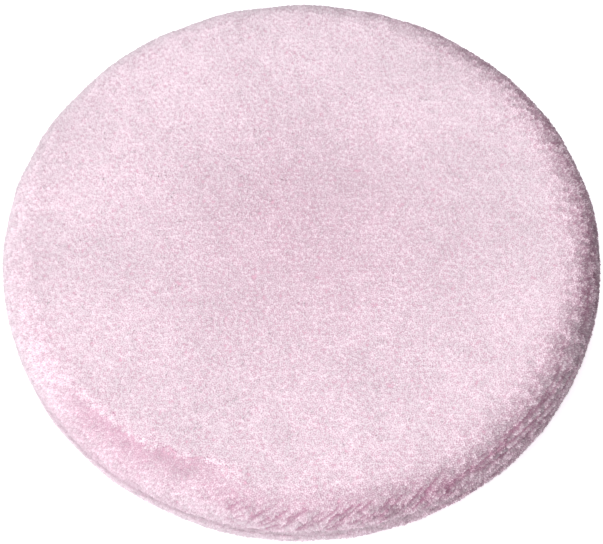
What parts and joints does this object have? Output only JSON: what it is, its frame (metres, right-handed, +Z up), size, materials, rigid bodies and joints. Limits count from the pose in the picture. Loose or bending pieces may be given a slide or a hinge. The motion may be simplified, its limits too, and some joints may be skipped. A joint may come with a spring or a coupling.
{
  "type": "powder puff",
  "caption": "Round pink velour powder puff: two pile panels stitched round a soft foam disc, with a satin finger ribbon across the back.",
  "frame": {"origin": "centre of the flat underside that the puff lies on", "axes": "+Z up out of the face, +X along the finger ribbon, -Y towards the picture's camera"},
  "size_m": [0.0798, 0.0798, 0.0143],
  "materials": {
    "velour": "short cut pile, matt with a soft sheen",
    "foam": "open-cell foam, matt",
    "thread": "twisted sewing thread, low sheen",
    "ribbon": "satin weave, silky sheen along its length"
  },
  "bodies": {
    "puff": {"face_velour": "velour", "back_velour": "velour", "foam_core": "foam", "seam_thread": "thread", "closing_thread": "thread", "ribbon_end_left": "ribbon", "ribbon_end_right": "ribbon"},
    "ribbon": {"finger_ribbon": "ribbon"}
  },
  "joints": [
    {"name": "ribbon_lift", "type": "slide", "parent": "puff", "child": "ribbon", "axis": [0, 0, -1], "range_m": [0, 0.01]}
  ]
}
